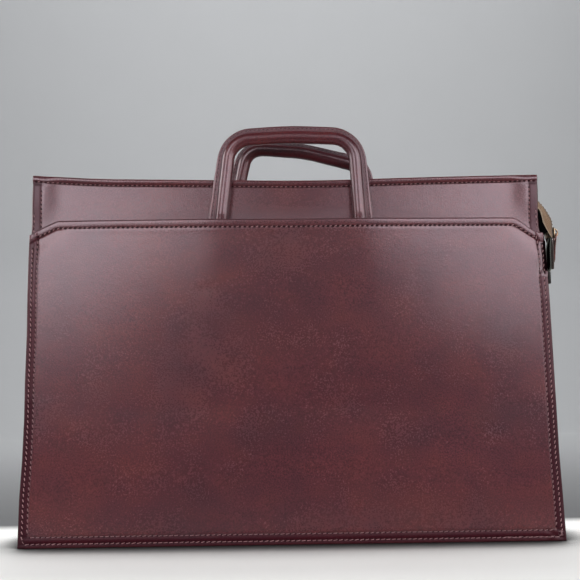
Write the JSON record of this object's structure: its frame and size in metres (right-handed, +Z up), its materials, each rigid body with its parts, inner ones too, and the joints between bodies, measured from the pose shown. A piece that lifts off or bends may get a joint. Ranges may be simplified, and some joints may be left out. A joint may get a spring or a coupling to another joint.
{
  "type": "portfolio briefcase",
  "caption": "Upright portfolio briefcase with two leaned side panels, outside slip pockets, folding gusset, rolled handles and a top zip.",
  "frame": {"origin": "centre of the bag's bottom web, on the surface it stands on", "axes": "+X along the bag towards the zip's free tail, +Y from the front face to the back, +Z up"},
  "size_m": [0.4288, 0.0552, 0.3277],
  "materials": {
    "panel": "burgundy semi-gloss vinyl hide, fine grain",
    "pocket": "burgundy semi-gloss vinyl hide, fine grain",
    "gusset": "burgundy hide, darker in the fold",
    "handle": "rolled and stitched burgundy hide",
    "tape": "tan woven zip tape",
    "chain": "dulled metal teeth",
    "slider": "antique brass",
    "pull": "antique brass",
    "tab": "dark grey tape tab"
  },
  "bodies": {
    "bag": {"front_panel": "panel", "back_panel": "panel", "front_pocket": "pocket", "back_pocket": "pocket", "gusset": "gusset", "handle_front": "handle", "handle_rear": "handle", "zip_tape_front": "tape", "zip_tape_back": "tape", "zip_chain": "chain", "zip_slider": "slider", "zip_end_tab": "tab"},
    "pull": {"zip_pull": "pull"}
  },
  "joints": [
    {"name": "zip_pull_swing", "type": "hinge", "parent": "bag", "child": "pull", "pos_m": [0.21995, 0, 0.2397], "axis": [0, -1, 0], "range_deg": [0, 165]}
  ]
}
